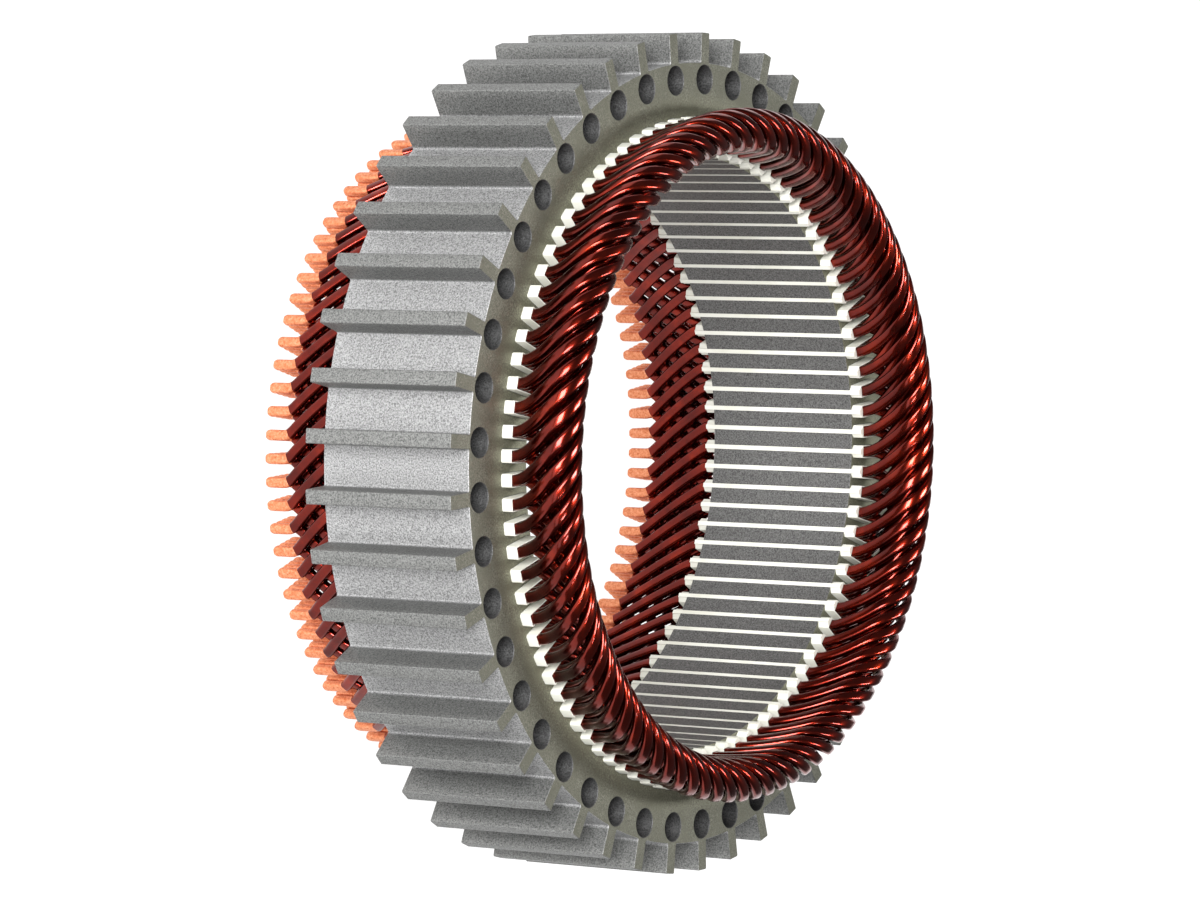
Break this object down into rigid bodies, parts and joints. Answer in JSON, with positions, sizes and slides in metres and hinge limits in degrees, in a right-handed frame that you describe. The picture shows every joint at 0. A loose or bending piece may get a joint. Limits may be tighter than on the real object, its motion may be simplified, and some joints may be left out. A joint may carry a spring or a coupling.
{
  "type": "wound stator core",
  "caption": "Laminated stator ring with cooling fins and axial holes, wound with flat copper hairpins that curl into a crown at one end and stand as bare weld stubs at the other.",
  "frame": {"origin": "on the rotor bore's axis, at the middle of the laminated stack's length", "axes": "+Z along the bore axis towards the crown where the hairpins curl over, -Z towards the weld stubs; +X through the middle of one cooling fin and its hole"},
  "size_m": [0.1799, 0.18, 0.0781],
  "materials": {
    "core_steel": "dull cut edges of electrical steel sheets, light grey and fine-grained on the fins, olive grey on the face",
    "slot_paper": "smooth off-white insulating paper",
    "enamelled_copper": "glossy dark reddish-brown enamel over copper, bare copper at the weld stubs"
  },
  "bodies": {
    "root": {"stator_core": "core_steel", "slot_liners_pole_01": "slot_paper", "slot_liners_pole_02": "slot_paper", "slot_liners_pole_03": "slot_paper", "slot_liners_pole_04": "slot_paper", "slot_liners_pole_05": "slot_paper", "slot_liners_pole_06": "slot_paper", "slot_liners_pole_07": "slot_paper", "slot_liners_pole_08": "slot_paper", "slot_liners_pole_09": "slot_paper", "slot_liners_pole_10": "slot_paper", "slot_liners_pole_11": "slot_paper", "slot_liners_pole_12": "slot_paper", "slot_liners_pole_13": "slot_paper", "slot_liners_pole_14": "slot_paper", "slot_liners_pole_15": "slot_paper", "slot_liners_pole_16": "slot_paper", "slot_liners_pole_17": "slot_paper", "slot_liners_pole_18": "slot_paper", "hairpins_pole_01": "enamelled_copper", "hairpins_pole_02": "enamelled_copper", "hairpins_pole_03": "enamelled_copper", "hairpins_pole_04": "enamelled_copper", "hairpins_pole_05": "enamelled_copper", "hairpins_pole_06": "enamelled_copper", "hairpins_pole_07": "enamelled_copper", "hairpins_pole_08": "enamelled_copper", "hairpins_pole_09": "enamelled_copper", "hairpins_pole_10": "enamelled_copper", "hairpins_pole_11": "enamelled_copper", "hairpins_pole_12": "enamelled_copper", "hairpins_pole_13": "enamelled_copper", "hairpins_pole_14": "enamelled_copper", "hairpins_pole_15": "enamelled_copper", "hairpins_pole_16": "enamelled_copper", "hairpins_pole_17": "enamelled_copper", "hairpins_pole_18": "enamelled_copper"}
  },
  "joints": []
}
